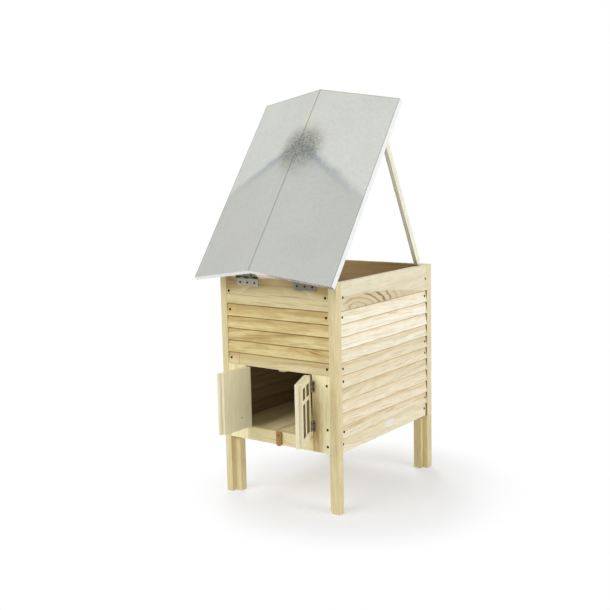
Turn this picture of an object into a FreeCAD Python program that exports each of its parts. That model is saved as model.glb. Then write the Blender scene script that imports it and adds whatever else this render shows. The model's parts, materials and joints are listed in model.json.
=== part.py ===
# Beehive: a boarded box on four posts with a hinged metal roof on a wooden frame,
# a prop that holds the roof up, two small front doors and a turn button.
# Millimetres, +Z up, the front faces -Y, the ground is Z = 0. The model stands in its
# open pose: roof propped up and both doors ajar.
import FreeCAD
import Part
import math
import os

V = FreeCAD.Vector
X_AXIS = V(1, 0, 0)
Y_AXIS = V(0, 1, 0)
Z_AXIS = V(0, 0, 1)

# ---- driving dimensions -------------------------------------------------------------
body_width = 400.0            # outside, across the front
body_depth = 517.4            # outside, front to back
leg_height = 168.0            # ground to the underside of the walls
wall_thickness = 16.0         # boards, rails, header, stiles and sill

post_size = 41.0              # square section of a corner post
post_narrow_face = 21.5       # face left beside the rebate at the left end of a wall
post_wide_face = 27.0         # face left beside the rebate at the right end of a wall

bottom_rail_height = 41.0
bottom_rail_set_back = 6.0
board_pitch = 35.0            # height that one board covers
board_count = 10              # courses between the bottom rail and the top rail
board_set_back = 5.5          # how far the bevelled face falls back at a board's top
tongue_inset = 8.0            # from the wall's outer face to the tongue
tongue_thickness = 4.0
tongue_height = 5.0
tongue_clearance = 0.2
lap_gap = 0.9                 # open joint below the outer lip of a board
top_rail_height = 78.0

opening_width = 230.0
header_course = 5             # course whose board is the header over the doors
sill_height = 39.0

floor_thickness = 12.0
floor_board_count = 4
floor_gap = 0.5               # around the posts and between floor boards
bearer_width = 30.0
bearer_inset = 60.0           # from the inside of the wall to the bearer

door_thickness = 18.0
door_side_gap = 0.75
door_bottom_gap = 2.0
door_top_gap = 1.5
door_lap = 7.0                # width by which the meeting edges lap
door_lap_thickness = 8.0      # outer half of the lap, on the left door
door_lap_gap = 0.6
window_width = 76.0
window_height = 135.0
window_bottom = 22.0          # from the door's lower edge
window_side = 21.0            # from the door's hinge edge
window_upper_height = 33.0    # upper panes
muntin_width = 16.0
muntin_height = 12.0
muntin_recess = 3.0           # from each face of the door
left_door_open = 93.5         # degrees from closed, as it stands
right_door_open = 113.5

stop_width = 22.5
stop_drop = 9.0               # how far the door stop hangs below the header
stop_height = 32.0
stop_thickness = 18.0
stop_gap = 0.5

door_hinge_height = 31.0
door_hinge_inset = 16.0       # from the door's upper and lower edges
door_leaf_width = 10.5
door_leaf_thickness = 1.2
door_knuckle_radius = 2.2
door_pin_radius = 1.1
door_hinge_screws = 2
door_screw_radius = 1.8

roof_hinge_length = 76.0
roof_hinge_centre = 99.0      # from the middle of the front to the middle of a hinge
roof_leaf_width = 25.0
roof_leaf_thickness = 1.6
roof_knuckle_radius = 3.2
roof_pin_radius = 1.6
roof_hinge_screws = 3
roof_screw_radius = 2.6
roof_gap = 1.0                # between the wall tops and the closed roof's frame

knuckle_gap = 0.4             # between neighbouring knuckles
pin_clearance = 0.05
screw_head_height = 0.9
hinge_screw_length = 9.0

roof_frame_thickness = 18.0
eave_height = 54.4            # from the underside of the roof's frame to the eaves
roof_rise = 60.0              # eaves to ridge
roof_side_overhang = 34.0
roof_front_overhang = 42.0
roof_back_overhang = 39.0
sheet_thickness = 0.8
side_hem = 16.0
end_hem = 12.0
hem_slit = 1.4                # open mitre of the end hems at the ridge
roof_open = 53.9              # degrees from closed, as it stands

prop_thickness = 12.0
prop_width = 19.0
prop_side_gap = 0.5           # to the inner face of the roof's side board
prop_frame_gap = 1.0          # to the underside of the roof's frame when folded
prop_end_gap = 2.0            # to the rear gable board
prop_foot_gap = 7.0           # foot to the front post when folded
prop_foot_bevel = 6.0
prop_open = 62.6              # degrees between the prop and the roof, as it stands
prop_screw_radius = 2.5
prop_screw_head_radius = 5.0
prop_screw_head_height = 2.5
prop_screw_depth = 13.0       # how far it goes into the roof's side board

button_width = 18.5
button_thickness = 6.0
button_arm = 31.5             # pivot to the tip of the long arm
button_heel = 9.5             # pivot to the short end
button_top_gap = 0.2          # below the top of the sill
button_gap = 0.3              # to the face of the sill
button_screw_radius = 2.0
button_head_radius = 3.2
button_head_height = 0.9
button_screw_depth = 14.0

wall_screw_head_radius = 3.25
wall_screw_head_depth = 2.8
wall_screw_radius = 1.7
wall_screw_length = 22.0
wall_screw_sink = 0.5         # head below the face
side_screw_courses = (0, 4, 5, 9)
front_screw_courses = (5, 9)
rail_screw_drop = 41.0        # from the top of the walls
rail_screw_rise = 24.0        # from the underside of the walls
stile_screw_drop = 27.0       # from the underside of the header
stile_screw_rise = 28.0       # from the top of the sill
left_screw_inset = 31.0       # from the left end of a wall to its screws
right_screw_inset = 36.0      # from the right end of a wall to its screws

# ---- derived places -----------------------------------------------------------------
boards_bottom = leg_height + bottom_rail_height
boards_top = boards_bottom + board_count * board_pitch
body_height = boards_top + top_rail_height
half_width = body_width / 2
half_depth = body_depth / 2
half_opening = opening_width / 2
opening_bottom = leg_height + sill_height
opening_top = boards_bottom + header_course * board_pitch
inside_half_width = half_width - wall_thickness
inside_half_depth = half_depth - wall_thickness
floor_bottom = opening_bottom - floor_thickness

door_bottom = opening_bottom + door_bottom_gap
door_top = opening_top - door_top_gap
door_pin_y = -half_depth - door_knuckle_radius
window_z = (door_bottom + window_bottom, door_bottom + window_bottom + window_height)
window_x = (half_opening - door_side_gap - window_side - window_width,
            half_opening - door_side_gap - window_side)
button_pivot_z = opening_bottom - button_top_gap - button_heel

frame_bottom = body_height + roof_gap
roof_pin_y = -half_depth - roof_knuckle_radius
roof_pin_z = body_height + roof_gap / 2
half_roof = half_width + roof_side_overhang
eave_z = frame_bottom + eave_height
roof_pitch = math.atan2(roof_rise, half_roof)
sheet_drop = sheet_thickness / math.cos(roof_pitch)
side_board_inside = half_width - roof_frame_thickness

side_screw_heights = [boards_bottom + (n + 0.5) * board_pitch for n in side_screw_courses]
side_screw_heights += [body_height - rail_screw_drop, leg_height + rail_screw_rise]
front_screw_heights = [boards_bottom + (n + 0.5) * board_pitch for n in front_screw_courses]
front_screw_heights += [body_height - rail_screw_drop, leg_height + sill_height / 2]
front_screw_heights += [opening_top - stile_screw_drop, opening_bottom + stile_screw_rise]

prop_half = prop_width / 2
prop_x = (side_board_inside - prop_side_gap - prop_thickness, side_board_inside - prop_side_gap)
prop_pivot_y = half_depth - roof_frame_thickness - prop_end_gap - prop_half
prop_pivot_z = frame_bottom + prop_frame_gap + prop_half
prop_heel_y = -half_depth + post_size + prop_foot_gap

# Each wall is drawn as the front one, with X along it and Y into it from its outer face,
# and is then turned and moved to its own side.
WALLS = {"front": (0, V(0, -half_depth, 0), body_width),
         "right": (90, V(half_width, 0, 0), body_depth),
         "back": (180, V(0, half_depth, 0), body_width),
         "left": (270, V(-half_width, 0, 0), body_depth)}


# ---- shapes -------------------------------------------------------------------------
def block(x_range, y_range, z_range):
    """A box between two limits along each axis."""
    size = [high - low for low, high in (x_range, y_range, z_range)]
    return Part.makeBox(*size, V(x_range[0], y_range[0], z_range[0]))


def prism(points, direction):
    """A closed outline of points, extruded along a vector."""
    return Part.Face(Part.makePolygon(points + points[:1])).extrude(direction)


def rod(start, direction, radius, length):
    """A round bar."""
    return Part.makeCylinder(radius, length, start, direction)


def turned(shape, centre, axis, angle):
    """A copy turned about an axis through a point."""
    result = shape.copy()
    result.rotate(centre, axis, angle)
    return result


def moved(shape, offset):
    """A copy moved by a vector."""
    result = shape.copy()
    result.translate(offset)
    return result


def on_wall(shape, wall):
    """A shape drawn on the front wall's face, set on the wall that is named."""
    angle, offset, run = WALLS[wall]
    return moved(turned(shape, V(0, 0, 0), Z_AXIS, angle), offset)


def wall_ends(wall):
    """Where the boards of a wall start and end, between the posts' faces."""
    run = WALLS[wall][2]
    return -run / 2 + post_narrow_face, run / 2 - post_wide_face


def pinned(shape, pin, radius):
    """A shape bored to run on a pin."""
    start, direction, length = pin
    return shape.cut(rod(start, direction, radius + pin_clearance, length))


# ---- walls --------------------------------------------------------------------------
def post(wall):
    """The corner post at the left end of a wall, rebated for both walls that meet there."""
    run = WALLS[wall][2]
    outline = [(0, 0), (post_narrow_face, 0), (post_narrow_face, wall_thickness),
               (post_size, wall_thickness), (post_size, post_size),
               (wall_thickness, post_size), (wall_thickness, post_wide_face),
               (0, post_wide_face)]
    points = [V(x - run / 2, y, 0) for x, y in outline]
    return on_wall(prism(points, V(0, 0, body_height)), wall)


def course_outline(bottom, top, face_bottom, face_top, groove, tongue):
    """Section of a rail or board: (depth from the wall's face, height)."""
    tongue_back = tongue_inset + tongue_thickness
    lip = bottom + lap_gap if groove else bottom
    outline = [(face_bottom, lip)]
    if groove:
        roof_of_groove = bottom + tongue_height + tongue_clearance
        outline += [(tongue_inset - tongue_clearance, lip),
                    (tongue_inset - tongue_clearance, roof_of_groove),
                    (tongue_back + tongue_clearance, roof_of_groove),
                    (tongue_back + tongue_clearance, bottom)]
    outline += [(wall_thickness, bottom), (wall_thickness, top)]
    if tongue:
        outline += [(tongue_back, top), (tongue_back, top + tongue_height),
                    (tongue_inset, top + tongue_height), (tongue_inset, top)]
    outline.append((face_top, top))
    return outline


def course(wall, bottom, top, face_bottom=0.0, face_top=0.0, groove=True, tongue=True):
    """A rail or board of one wall, from post to post."""
    start, end = wall_ends(wall)
    outline = course_outline(bottom, top, face_bottom, face_top, groove, tongue)
    points = [V(start, depth, height) for depth, height in outline]
    return on_wall(prism(points, V(end - start, 0, 0)), wall)


def board(wall, number):
    """One bevelled board; number 0 is the lowest."""
    bottom = boards_bottom + number * board_pitch
    is_header = wall == "front" and number == header_course
    return course(wall, bottom, bottom + board_pitch, 0.0, board_set_back, groove=not is_header)


def top_rail(wall):
    return course(wall, boards_top, body_height, tongue=False)


def bottom_rail(wall):
    return course(wall, leg_height, boards_bottom, bottom_rail_set_back,
                  bottom_rail_set_back, groove=False)


def stile(x_range):
    """Upright beside the doors, from the walls' underside to the header."""
    return on_wall(block(x_range, (0, wall_thickness), (leg_height, opening_top)), "front")


def sill():
    return on_wall(block((-half_opening, half_opening), (0, wall_thickness),
                         (leg_height, opening_bottom)), "front")


def door_stop():
    """Block behind the header that the doors close against."""
    back = wall_thickness + stop_thickness
    lip = door_thickness + stop_gap
    bottom = opening_top - stop_drop
    outline = [(wall_thickness, opening_top), (lip, opening_top), (lip, bottom),
               (back, bottom), (back, bottom + stop_height),
               (wall_thickness, bottom + stop_height)]
    points = [V(-stop_width / 2, depth, height) for depth, height in outline]
    return on_wall(prism(points, V(stop_width, 0, 0)), "front")


def wall_screw(wall, along, height):
    """A countersunk screw into a wall; its head lies just under the bevelled face."""
    fall = 0.0
    if boards_bottom < height < boards_top and not (wall == "front" and height < opening_top):
        fall = board_set_back * ((height - boards_bottom) % board_pitch) / board_pitch
    if height < boards_bottom and wall != "front":
        fall = bottom_rail_set_back
    face = V(along, fall + wall_screw_sink, height)
    head = Part.makeCone(wall_screw_head_radius, wall_screw_radius, wall_screw_head_depth,
                         face, Y_AXIS)
    shank = rod(face, Y_AXIS, wall_screw_radius, wall_screw_length)
    mouth = rod(V(along, fall - board_set_back, height), Y_AXIS, wall_screw_head_radius,
                board_set_back + wall_screw_sink)
    screw = on_wall(head.fuse(shank).removeSplitter(), wall)
    return screw, on_wall(mouth, wall)


def wall_screws(wall):
    """All screws of one wall, with the countersink mouths over their heads."""
    heights = front_screw_heights if wall == "front" else side_screw_heights
    run = WALLS[wall][2]
    places = (-run / 2 + left_screw_inset, run / 2 - right_screw_inset)
    return [wall_screw(wall, along, height) for along in places for height in heights]


# ---- floor --------------------------------------------------------------------------
def floor_boards():
    """Boards from front to back, notched round the corner posts."""
    width = (2 * inside_half_width - (floor_board_count + 1) * floor_gap) / floor_board_count
    corner = post_size + floor_gap
    boards = []
    for number in range(floor_board_count):
        start = -inside_half_width + floor_gap + number * (width + floor_gap)
        plank = block((start, start + width), (-inside_half_depth + floor_gap,
                      inside_half_depth - floor_gap), (floor_bottom, opening_bottom))
        for side_x in (-1, 1):
            for side_y in (-1, 1):
                x_pair = sorted((side_x * half_width, side_x * (half_width - corner)))
                y_pair = sorted((side_y * half_depth, side_y * (half_depth - corner)))
                plank = plank.cut(block(x_pair, y_pair, (floor_bottom, opening_bottom)))
        boards.append(plank)
    return Part.makeCompound(boards)


def floor_bearers():
    """Two cross battens between the side walls that carry the floor."""
    reach = inside_half_depth - bearer_inset
    bars = []
    for start in (-reach, reach - bearer_width):
        bars.append(block((-inside_half_width, inside_half_width),
                          (start, start + bearer_width), (leg_height, floor_bottom)))
    return Part.makeCompound(bars)


# ---- hinges -------------------------------------------------------------------------
def hinge(length, knuckles, radius, pin_radius, leaf_width, leaf_thickness, screws, screw_radius):
    """A butt hinge lying on the plane Z = 0, with its pin along X from 0 to length.

    Returns the leaf towards -Y with the end knuckles, the leaf towards +Y, the pin, and
    the screws of each leaf. The pin's axis is at Z = radius."""
    axis = V(0, 0, radius)
    step = length / knuckles
    plates = {-1: block((0, length), (-leaf_width, 0), (0, leaf_thickness)),
              1: block((0, length), (0, leaf_width), (0, leaf_thickness))}
    for number in range(knuckles):
        owner = -1 if number % 2 == 0 else 1
        start = number * step + (knuckle_gap / 2 if number else 0)
        end = (number + 1) * step - (knuckle_gap / 2 if number < knuckles - 1 else 0)
        knuckle = rod(axis + V(start, 0, 0), X_AXIS, radius, end - start)
        room = rod(axis + V(number * step, 0, 0), X_AXIS, radius + knuckle_gap, step)
        plates[-owner] = plates[-owner].cut(room)
        plates[owner] = plates[owner].fuse(knuckle)
    bore = rod(axis, X_AXIS, pin_radius + pin_clearance, length)
    fixings = {}
    for side in (-1, 1):
        fixings[side] = []
        for number in range(screws):
            x = length * (number + 0.5) / screws
            y = side * (leaf_width + radius) / 2
            head = rod(V(x, y, leaf_thickness), Z_AXIS, screw_radius, screw_head_height)
            shank = rod(V(x, y, leaf_thickness), -Z_AXIS, screw_radius / 2, hinge_screw_length)
            fixings[side].append(head.fuse(shank))
            plates[side] = plates[side].cut(shank)
        plates[side] = plates[side].cut(bore).removeSplitter()
    pin = rod(axis, X_AXIS, pin_radius, length)
    return {"low leaf": plates[-1], "high leaf": plates[1], "pin": pin,
            "low screws": Part.makeCompound(fixings[-1]),
            "high screws": Part.makeCompound(fixings[1])}


def roof_hinges():
    """Both roof hinges, closed, standing on the front face across the roof joint."""
    pieces = hinge(roof_hinge_length, 5, roof_knuckle_radius, roof_pin_radius,
                   roof_leaf_width, roof_leaf_thickness, roof_hinge_screws, roof_screw_radius)
    groups = {name: [] for name in pieces}
    for side in (-1, 1):
        start = side * roof_hinge_centre - roof_hinge_length / 2
        for name, shape in pieces.items():
            upright = turned(shape, V(0, 0, 0), X_AXIS, 90)
            groups[name].append(moved(upright, V(start, -half_depth, roof_pin_z)))
    return {name: Part.makeCompound(shapes) for name, shapes in groups.items()}


def door_hinges(side):
    """The two hinges of one door, closed; the leaf with the end knuckles is on the stile."""
    pieces = hinge(door_hinge_height, 3, door_knuckle_radius, door_pin_radius,
                   door_leaf_width, door_leaf_thickness, door_hinge_screws, door_screw_radius)
    groups = {name: [] for name in pieces}
    lows = (door_bottom + door_hinge_inset, door_top - door_hinge_inset - door_hinge_height)
    for low in lows:
        for name, shape in pieces.items():
            upright = turned(turned(shape, V(0, 0, 0), X_AXIS, 90), V(0, 0, 0), Y_AXIS, -90)
            if side < 0:
                upright = turned(upright, V(0, 0, door_hinge_height / 2), Y_AXIS, 180)
            groups[name].append(moved(upright, V(side * half_opening, -half_depth, low)))
    return {name: Part.makeCompound(shapes) for name, shapes in groups.items()}


# ---- doors --------------------------------------------------------------------------
def door_panel(side):
    """One closed door: side -1 is the left one, whose outer half laps over the other."""
    hinge_edge = half_opening - door_side_gap
    outer_edge = door_lap / 2 if side < 0 else -door_lap / 2 - door_lap_gap
    inner_edge = -door_lap / 2 if side < 0 else door_lap / 2 - door_lap_gap
    lap = door_lap_thickness if side < 0 else door_lap_thickness + door_lap_gap
    outline = [(hinge_edge, 0), (-outer_edge, 0), (-outer_edge, lap), (-inner_edge, lap),
               (-inner_edge, door_thickness), (hinge_edge, door_thickness)]
    points = [V(side * x, y, door_bottom) for x, y in outline]
    return on_wall(prism(points, V(0, 0, door_top - door_bottom)), "front")


def right_door_panel():
    hole = block(window_x, (-door_thickness, 2 * door_thickness), window_z)
    return door_panel(1).cut(on_wall(hole, "front"))


def muntins():
    """The cross that divides the window into four panes, two short ones above."""
    depth = (muntin_recess, door_thickness - muntin_recess)
    middle = (window_x[0] + window_x[1]) / 2
    bar_top = window_z[1] - window_upper_height
    upright = block((middle - muntin_width / 2, middle + muntin_width / 2), depth, window_z)
    bar = block(window_x, depth, (bar_top - muntin_height, bar_top))
    return on_wall(upright.fuse(bar).removeSplitter(), "front")


# ---- turn button --------------------------------------------------------------------
def turn_button():
    """Wooden button below the doors, its long arm hanging down with a rounded tip."""
    half = button_width / 2
    tip_centre = button_pivot_z - button_arm + half
    top = button_pivot_z + button_heel
    edges = [Part.LineSegment(V(-half, 0, tip_centre), V(-half, 0, top)).toShape(),
             Part.LineSegment(V(-half, 0, top), V(half, 0, top)).toShape(),
             Part.LineSegment(V(half, 0, top), V(half, 0, tip_centre)).toShape(),
             Part.Arc(V(half, 0, tip_centre), V(0, 0, tip_centre - half),
                      V(-half, 0, tip_centre)).toShape()]
    plate = Part.Face(Part.Wire(edges)).extrude(V(0, -button_thickness, 0))
    plate = on_wall(moved(plate, V(0, -button_gap, 0)), "front")
    pin = (V(0, -half_depth, button_pivot_z), -Y_AXIS, 2 * button_thickness)
    return pinned(plate, pin, button_screw_radius)


def turn_button_screw():
    front = -button_gap - button_thickness
    shank = rod(V(0, front - button_gap, button_pivot_z), Y_AXIS, button_screw_radius,
                button_screw_depth - front)
    head = rod(V(0, front - button_gap, button_pivot_z), -Y_AXIS, button_head_radius,
               button_head_height)
    return on_wall(head.fuse(shank).removeSplitter(), "front")


# ---- roof, drawn closed ---------------------------------------------------------------
def sheet_under(x):
    """Height of the sheet's underside at a distance from the ridge."""
    return eave_z - sheet_drop + roof_rise * (1 - abs(x) / half_roof)


def roof_sheet():
    """Pitched sheet with its side edges and its end edges folded down."""
    front = -half_depth - roof_front_overhang
    back = half_depth + roof_back_overhang
    inner = half_roof - sheet_thickness
    outline = [(-half_roof, eave_z - side_hem), (-half_roof, eave_z), (0, eave_z + roof_rise),
               (half_roof, eave_z), (half_roof, eave_z - side_hem), (inner, eave_z - side_hem),
               (inner, sheet_under(inner)), (0, sheet_under(0)), (-inner, sheet_under(inner)),
               (-inner, eave_z - side_hem)]
    sheet = prism([V(x, front, z) for x, z in outline], V(0, back - front, 0))
    hem_drop = end_hem / math.cos(roof_pitch)
    for start in (front, back - sheet_thickness):
        for side in (-1, 1):
            near = side * hem_slit / 2
            far = side * inner
            points = [V(near, start, sheet_under(near)), V(far, start, sheet_under(far)),
                      V(far, start, sheet_under(far) - hem_drop),
                      V(near, start, sheet_under(near) - hem_drop)]
            sheet = sheet.fuse(prism(points, V(0, sheet_thickness, 0)))
    return sheet.removeSplitter()


def gable(start):
    """End board of the roof's frame, cut to the pitch of the sheet."""
    points = [V(-half_width, start, frame_bottom), V(half_width, start, frame_bottom),
              V(half_width, start, sheet_under(half_width)), V(0, start, sheet_under(0)),
              V(-half_width, start, sheet_under(half_width))]
    return prism(points, V(0, roof_frame_thickness, 0))


def roof_side(side):
    """Side board of the roof's frame, between the gables."""
    start = -half_depth + roof_frame_thickness
    points = [V(side * side_board_inside, start, frame_bottom),
              V(side * half_width, start, frame_bottom),
              V(side * half_width, start, sheet_under(half_width)),
              V(side * side_board_inside, start, sheet_under(side_board_inside))]
    return prism(points, V(0, body_depth - 2 * roof_frame_thickness, 0))


# ---- prop, drawn folded into the closed roof ------------------------------------------
def prop():
    """Stick on a pivot at its rounded end; the other end is cut on the slant."""
    low = prop_pivot_z - prop_half
    high = prop_pivot_z + prop_half
    x = prop_x[0]
    edges = [Part.LineSegment(V(x, prop_pivot_y, low), V(x, prop_heel_y, low)).toShape(),
             Part.LineSegment(V(x, prop_heel_y, low),
                              V(x, prop_heel_y - prop_foot_bevel, high)).toShape(),
             Part.LineSegment(V(x, prop_heel_y - prop_foot_bevel, high),
                              V(x, prop_pivot_y, high)).toShape(),
             Part.Arc(V(x, prop_pivot_y, high), V(x, prop_pivot_y + prop_half, prop_pivot_z),
                      V(x, prop_pivot_y, low)).toShape()]
    stick = Part.Face(Part.Wire(edges)).extrude(V(prop_thickness, 0, 0))
    pin = (V(x - prop_thickness, prop_pivot_y, prop_pivot_z), X_AXIS, 3 * prop_thickness)
    return pinned(stick, pin, prop_screw_radius)


def prop_screw():
    seat = V(prop_x[0] - prop_side_gap, prop_pivot_y, prop_pivot_z)
    reach = side_board_inside + prop_screw_depth - seat.x
    head = rod(seat, -X_AXIS, prop_screw_head_radius, prop_screw_head_height)
    return head.fuse(rod(seat, X_AXIS, prop_screw_radius, reach)).removeSplitter()


# ---- assembly -------------------------------------------------------------------------
def hive_body():
    """Everything that stands still."""
    nodes = {"post_front_left": post("front"), "post_front_right": post("right"),
             "post_back_right": post("back"), "post_back_left": post("left")}
    for wall in WALLS:
        nodes["top_rail_" + wall] = top_rail(wall)
    for wall in ("right", "back", "left"):
        nodes["bottom_rail_" + wall] = bottom_rail(wall)
    for number in range(board_count):
        nodes["right_board_%02d" % (number + 1)] = board("right", number)
        if number > header_course:
            nodes["front_board_%02d" % (number - header_course)] = board("front", number)
    nodes["left_boards"] = Part.makeCompound([board("left", n) for n in range(board_count)])
    nodes["back_boards"] = Part.makeCompound([board("back", n) for n in range(board_count)])
    nodes["header"] = board("front", header_course)
    start, end = wall_ends("front")
    nodes["stile_left"] = stile((start, -half_opening))
    nodes["stile_right"] = stile((half_opening, end))
    nodes["sill"] = sill()
    nodes["floor_boards"] = floor_boards()
    nodes["floor_bearers"] = floor_bearers()
    nodes["door_stop"] = door_stop()
    return nodes


def drive_wall_screws(nodes):
    """Adds the wall screws and opens their holes in the boards and the posts."""
    screws = []
    for wall in WALLS:
        for screw, mouth in wall_screws(wall):
            screws.append(screw)
            hole = screw.fuse(mouth)
            for name, shape in nodes.items():
                if shape.BoundBox.intersect(hole.BoundBox):
                    nodes[name] = shape.cut(hole)
    nodes["wall_screws"] = Part.makeCompound(screws)


def seat_screws(nodes, name, screws, carriers):
    """Adds a group of screws and opens their holes in what they are driven into."""
    nodes[name] = screws
    for carrier in carriers:
        nodes[carrier] = nodes[carrier].cut(screws)


def build():
    """All nodes in the open pose, with the front wall centred on X = 0."""
    hive = hive_body()
    drive_wall_screws(hive)
    roof = {"roof_sheet": roof_sheet(), "roof_gable_front": gable(-half_depth),
            "roof_gable_back": gable(half_depth - roof_frame_thickness),
            "roof_side_left": roof_side(-1), "roof_side_right": roof_side(1)}
    roof_set = roof_hinges()
    hive["roof_hinge_rail_leaves"] = roof_set["low leaf"]
    hive["roof_hinge_pins"] = roof_set["pin"]
    roof["roof_hinge_lid_leaves"] = roof_set["high leaf"]
    seat_screws(hive, "roof_hinge_rail_screws", roof_set["low screws"], ["top_rail_front"])
    seat_screws(roof, "roof_hinge_lid_screws", roof_set["high screws"], ["roof_gable_front"])
    seat_screws(roof, "prop_screw", prop_screw(), ["roof_side_right"])

    left_set = door_hinges(-1)
    right_set = door_hinges(1)
    hive["door_hinge_stile_leaves"] = Part.makeCompound([left_set["low leaf"],
                                                         right_set["low leaf"]])
    hive["door_hinge_pins"] = Part.makeCompound([left_set["pin"], right_set["pin"]])
    stile_screws = Part.makeCompound([left_set["low screws"], right_set["low screws"]])
    seat_screws(hive, "door_hinge_stile_screws", stile_screws, ["stile_left", "stile_right"])
    seat_screws(hive, "turn_button_screw", turn_button_screw(), ["sill"])
    left = {"left_door": door_panel(-1), "left_door_hinge_leaves": left_set["high leaf"]}
    seat_screws(left, "left_door_hinge_screws", left_set["high screws"], ["left_door"])
    right = {"right_door": right_door_panel(), "right_door_muntins": muntins(),
             "right_door_hinge_leaves": right_set["high leaf"]}
    seat_screws(right, "right_door_hinge_screws", right_set["high screws"], ["right_door"])

    roof_pin = V(0, roof_pin_y, roof_pin_z)
    prop_pin = V(0, prop_pivot_y, prop_pivot_z)
    nodes = dict(hive)
    nodes["turn_button"] = turn_button()
    for name, shape in left.items():
        nodes[name] = turned(shape, V(-half_opening, door_pin_y, 0), Z_AXIS, -left_door_open)
    for name, shape in right.items():
        nodes[name] = turned(shape, V(half_opening, door_pin_y, 0), Z_AXIS, right_door_open)
    for name, shape in roof.items():
        nodes[name] = turned(shape, roof_pin, X_AXIS, roof_open)
    swung = turned(prop(), prop_pin, X_AXIS, prop_open)
    nodes["prop"] = turned(swung, roof_pin, X_AXIS, roof_open)
    return nodes


def middle_of(nodes):
    """Half way between the foremost and the rearmost corner."""
    depths = [corner.Y for shape in nodes.values() for corner in shape.Vertexes]
    return (min(depths) + max(depths)) / 2


def main():
    nodes = build()
    back = V(0, -middle_of(nodes), 0)     # puts the origin under the middle of the open hive
    os.makedirs("parts", exist_ok=True)
    for name, shape in nodes.items():
        moved(shape, back).exportStep("parts/%s.step" % name)
    roof_pin = V(0, roof_pin_y, roof_pin_z)
    prop_pin = V(prop_x[0], prop_pivot_y, prop_pivot_z)
    prop_pin = prop_pin.sub(roof_pin)
    prop_pin = FreeCAD.Rotation(X_AXIS, roof_open).multVec(prop_pin).add(roof_pin)
    places = {"roof pin": roof_pin, "prop pin": prop_pin,
              "left door pin": V(-half_opening, door_pin_y, door_bottom),
              "right door pin": V(half_opening, door_pin_y, door_bottom),
              "button pin": V(0, -half_depth, button_pivot_z)}
    print("nodes", len(nodes), "moved along Y by %.4f" % back.y)
    for name, place in places.items():
        at = place.add(back)
        print("%s at %.3f %.3f %.3f" % (name, at.x, at.y, at.z))


main()
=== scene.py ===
"""Dresses the boarded hive: eased timber, zinc roof, hinges, screws and a plain studio."""
import json
import math

import bmesh
import bpy
from bpy.props import FloatProperty, FloatVectorProperty, PointerProperty
from mathutils import Matrix, Vector


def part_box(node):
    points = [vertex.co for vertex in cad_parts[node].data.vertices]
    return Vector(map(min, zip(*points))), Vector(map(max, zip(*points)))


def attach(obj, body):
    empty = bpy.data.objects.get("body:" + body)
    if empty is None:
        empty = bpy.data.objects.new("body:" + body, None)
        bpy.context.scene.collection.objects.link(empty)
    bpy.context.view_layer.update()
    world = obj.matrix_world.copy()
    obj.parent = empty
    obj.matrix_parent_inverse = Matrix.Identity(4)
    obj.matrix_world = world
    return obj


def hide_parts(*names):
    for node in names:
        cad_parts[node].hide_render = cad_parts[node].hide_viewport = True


bl_info = {
    "name": "Boarded Hive",
    "version": (1, 0, 0),
    "blender": (4, 5, 0),
    "location": "3D View > Sidebar > Hive",
    "description": "Finishes the timber, metal and fittings of a boarded hive with a hinged roof",
    "category": "Object",
}

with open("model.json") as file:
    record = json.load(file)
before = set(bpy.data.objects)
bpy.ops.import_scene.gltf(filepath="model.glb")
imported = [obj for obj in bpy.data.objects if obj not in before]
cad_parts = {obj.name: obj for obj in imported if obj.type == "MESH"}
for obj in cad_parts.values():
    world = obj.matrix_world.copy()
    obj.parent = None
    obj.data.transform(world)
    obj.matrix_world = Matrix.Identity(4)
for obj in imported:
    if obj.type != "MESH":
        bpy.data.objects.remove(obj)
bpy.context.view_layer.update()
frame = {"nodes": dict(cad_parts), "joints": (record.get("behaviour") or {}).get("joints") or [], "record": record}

# ---- places taken from the frame ------------------------------------------------------
NODES = frame["nodes"]
JOINTS = {joint["name"]: joint for joint in frame["joints"]}
BODY_OF = {node: body for body, nodes in frame["record"]["behaviour"]["bodies"].items()
           for node in nodes}


def pin_of(joint):
    """A point on a joint's axis."""
    return Vector(JOINTS[joint]["pos_m"])


def turn_back(joint):
    """The angle between the low end of a joint's range and its place at rest."""
    return math.radians(-JOINTS[joint]["range_deg"][0])


FRONT_LEFT_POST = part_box("post_front_left")
BACK_RIGHT_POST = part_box("post_back_right")
BODY_MIDDLE = (FRONT_LEFT_POST[0] + BACK_RIGHT_POST[1]) / 2
BODY_REACH = (BACK_RIGHT_POST[1] - FRONT_LEFT_POST[0]) / 2
WALL_TOP = BACK_RIGHT_POST[1].z
LEG_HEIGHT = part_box("bottom_rail_right")[0].z
FIRST_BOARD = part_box("right_board_01")
COURSE_START = FIRST_BOARD[0].z
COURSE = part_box("right_board_02")[0].z - COURSE_START
WALL_THICKNESS = FIRST_BOARD[1].x - FIRST_BOARD[0].x
ROOF_PIN = pin_of("roof_hinge")
RIGHT_DOOR_PIN = pin_of("right_door_hinge")
ROOF_TILT = turn_back("roof_hinge")
RIGHT_TURN = turn_back("right_door_hinge")
ALONG_ROOF = Vector((0, math.cos(ROOF_TILT), math.sin(ROOF_TILT)))
SHEET_REACH = [(vertex.co - ROOF_PIN).dot(ALONG_ROOF)
               for vertex in NODES["roof_sheet"].data.vertices]
END_EDGE, FAR_EDGE = min(SHEET_REACH), max(SHEET_REACH)

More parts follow.
